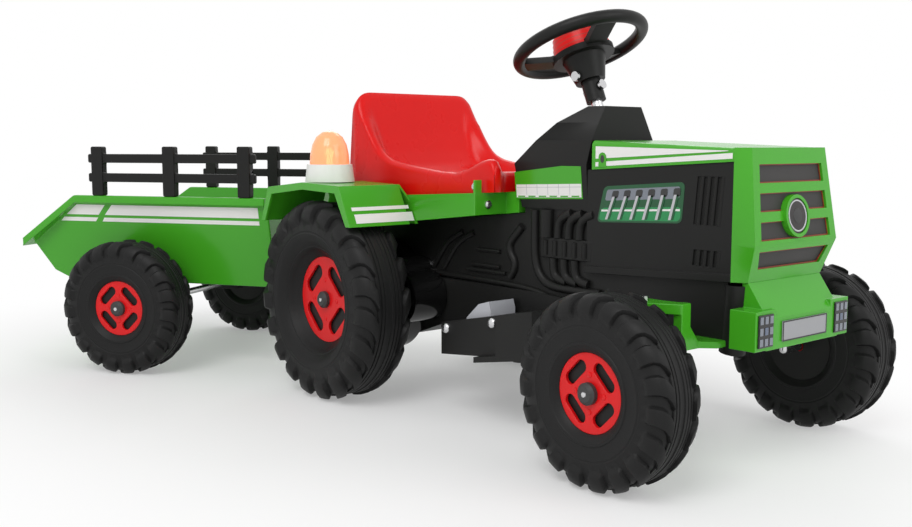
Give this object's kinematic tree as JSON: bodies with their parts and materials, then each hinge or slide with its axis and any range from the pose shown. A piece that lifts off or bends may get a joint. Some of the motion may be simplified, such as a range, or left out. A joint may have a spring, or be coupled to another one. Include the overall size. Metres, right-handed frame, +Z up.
{
  "type": "ride-on tractor toy",
  "caption": "Child's battery ride-on tractor with bucket seat, steerable front wheels, geared rear drive, push pedal, horn pad, beacon, and a coupled tipper-shaped trailer with rail fences.",
  "frame": {"origin": "middle of the footprint of tractor and swung trailer, on the ground", "axes": "+X to the tractor's front, +Y to the rider's left, +Z up"},
  "size_m": [1.4956, 0.741, 0.5756],
  "materials": {
    "green_plastic": "glossy moulded green",
    "black_plastic": "glossy moulded black",
    "red_plastic": "glossy moulded red",
    "tyre": "blow-moulded plastic tyre, satin black",
    "dark_grey_plastic": "satin dark grey",
    "lamp_plastic": "lamp face",
    "plate_plastic": "bare plate",
    "white_plastic": "white moulding",
    "amber_plastic": "clear amber moulding",
    "steel": "zinc-plated steel",
    "gear_plastic": "natural moulded gear plastic",
    "grey_plastic": "satin grey"
  },
  "bodies": {
    "tractor": {"body_shell_right": "black_plastic", "body_shell_left": "black_plastic", "hood": "green_plastic", "hood_side_right": "black_plastic", "hood_side_left": "black_plastic", "nose_grille": "green_plastic", "grille_panels": "dark_grey_plastic", "dash_cowl": "black_plastic", "front_bumper": "green_plastic", "headlights": "lamp_plastic", "number_plate": "plate_plastic", "fender_deck": "green_plastic", "seat": "red_plastic", "pan_head_screws": "steel", "beacon_base": "white_plastic", "beacon_dome": "amber_plastic", "beacon_bulb": "white_plastic", "footrest_right": "black_plastic", "footrest_left": "black_plastic", "battery": "dark_grey_plastic", "gearbox_housing": "black_plastic", "drive_motor": "steel", "rear_axle": "steel", "rear_axle_caps": "black_plastic", "front_axle_beam": "green_plastic", "hitch_bracket": "black_plastic", "hitch_pin": "steel", "pedal_switch": "black_plastic"},
    "steering": {"steering_column": "steel", "steering_wheel": "black_plastic", "column_bolts": "steel", "horn_switch": "black_plastic"},
    "horn": {"horn_button": "red_plastic"},
    "knuckle_right_body": {"knuckle_right": "steel", "front_cap_right": "black_plastic"},
    "knuckle_left_body": {"knuckle_left": "steel", "front_cap_left": "black_plastic"},
    "tie_rod_body": {"tie_rod": "steel"},
    "front_wheel_right": {"front_tyre_right": "tyre", "front_hub_right": "red_plastic"},
    "front_wheel_left": {"front_tyre_left": "tyre", "front_hub_left": "red_plastic"},
    "rear_wheel_right": {"rear_tyre_right": "tyre", "rear_hub_right": "red_plastic", "drive_gear": "gear_plastic"},
    "rear_wheel_left": {"rear_tyre_left": "tyre", "rear_hub_left": "red_plastic"},
    "idler": {"idler_gear": "gear_plastic"},
    "pinion": {"motor_pinion": "gear_plastic"},
    "pedal": {"accelerator_pedal": "grey_plastic"},
    "trailer": {"trailer_tub": "green_plastic", "trailer_drawbar": "black_plastic", "trailer_axle": "steel", "trailer_axle_caps": "black_plastic", "fence_right": "black_plastic", "fence_left": "black_plastic"},
    "trailer_wheel_right": {"trailer_tyre_right": "tyre", "trailer_hub_right": "red_plastic"},
    "trailer_wheel_left": {"trailer_tyre_left": "tyre", "trailer_hub_left": "red_plastic"}
  },
  "joints": [
    {"name": "steering_turn", "type": "hinge", "parent": "tractor", "child": "steering", "pos_m": [0.37977, 0.11601, 0.533], "axis": [-0.3778, 0, 0.9259], "range_deg": [-30, 30]},
    {"name": "horn_press", "type": "slide", "parent": "steering", "child": "horn", "axis": [0.3778, 0, -0.9259], "range_m": [0, 0.003], "stiffness_N_per_m": 400, "springref_m": -0.002},
    {"name": "knuckle_right_turn", "type": "hinge", "parent": "tractor", "child": "knuckle_right_body", "pos_m": [0.62677, -0.03399, 0.178], "axis": [0, 0, 1], "range_deg": [-22.1, 22.1]},
    {"name": "knuckle_left_turn", "type": "hinge", "parent": "tractor", "child": "knuckle_left_body", "pos_m": [0.62677, 0.26601, 0.178], "axis": [0, 0, 1], "range_deg": [-22.1, 22.1]},
    {"name": "tie_rod_slide", "type": "slide", "parent": "tractor", "child": "tie_rod_body", "axis": [0, 1, 0], "range_m": [-0.0151, 0.0151]},
    {"name": "front_wheel_right_spin", "type": "hinge", "parent": "knuckle_right_body", "child": "front_wheel_right", "pos_m": [0.62677, -0.09899, 0.115], "axis": [0, 1, 0], "continuous": true},
    {"name": "front_wheel_left_spin", "type": "hinge", "parent": "knuckle_left_body", "child": "front_wheel_left", "pos_m": [0.62677, 0.33101, 0.115], "axis": [0, 1, 0], "continuous": true},
    {"name": "rear_wheel_right_spin", "type": "hinge", "parent": "tractor", "child": "rear_wheel_right", "pos_m": [0.05477, -0.09099, 0.155], "axis": [0, 1, 0], "continuous": true},
    {"name": "rear_wheel_left_spin", "type": "hinge", "parent": "tractor", "child": "rear_wheel_left", "pos_m": [0.05477, 0.32301, 0.155], "axis": [0, 1, 0], "continuous": true},
    {"name": "idler_spin", "type": "hinge", "parent": "tractor", "child": "idler", "pos_m": [0.15203, 0.02601, 0.1618], "axis": [0, 1, 0], "continuous": true},
    {"name": "pinion_spin", "type": "hinge", "parent": "tractor", "child": "pinion", "pos_m": [0.13208, 0.02601, 0.19933], "axis": [0, 1, 0], "continuous": true},
    {"name": "pedal_press", "type": "hinge", "parent": "tractor", "child": "pedal", "pos_m": [0.30177, -0.00149, 0.14455], "axis": [0, 1, 0], "range_deg": [0, 9], "stiffness_Nm_per_rad": 1.5, "springref_deg": -11.46},
    {"name": "trailer_swing", "type": "hinge", "parent": "tractor", "child": "trailer", "pos_m": [-0.12823, 0.11601, 0.15], "axis": [0, 0, 1], "range_deg": [-69.9, 6.1]},
    {"name": "trailer_wheel_right_spin", "type": "hinge", "parent": "trailer", "child": "trailer_wheel_right", "pos_m": [-0.32524, -0.26576, 0.115], "axis": [-0.5284, 0.849, 0], "continuous": true},
    {"name": "trailer_wheel_left_spin", "type": "hinge", "parent": "trailer", "child": "trailer_wheel_left", "pos_m": [-0.55776, 0.10779, 0.115], "axis": [-0.5284, 0.849, 0], "continuous": true}
  ],
  "couplings": [
    {"joint": "knuckle_right_turn", "follows": "steering_turn", "ratio": 0.73333},
    {"joint": "knuckle_left_turn", "follows": "steering_turn", "ratio": 0.73333},
    {"joint": "tie_rod_slide", "follows": "steering_turn", "m_per_rad": -0.028648},
    {"joint": "idler_spin", "follows": "rear_wheel_right_spin", "ratio": -4.5714},
    {"joint": "pinion_spin", "follows": "rear_wheel_right_spin", "ratio": 10.971}
  ]
}
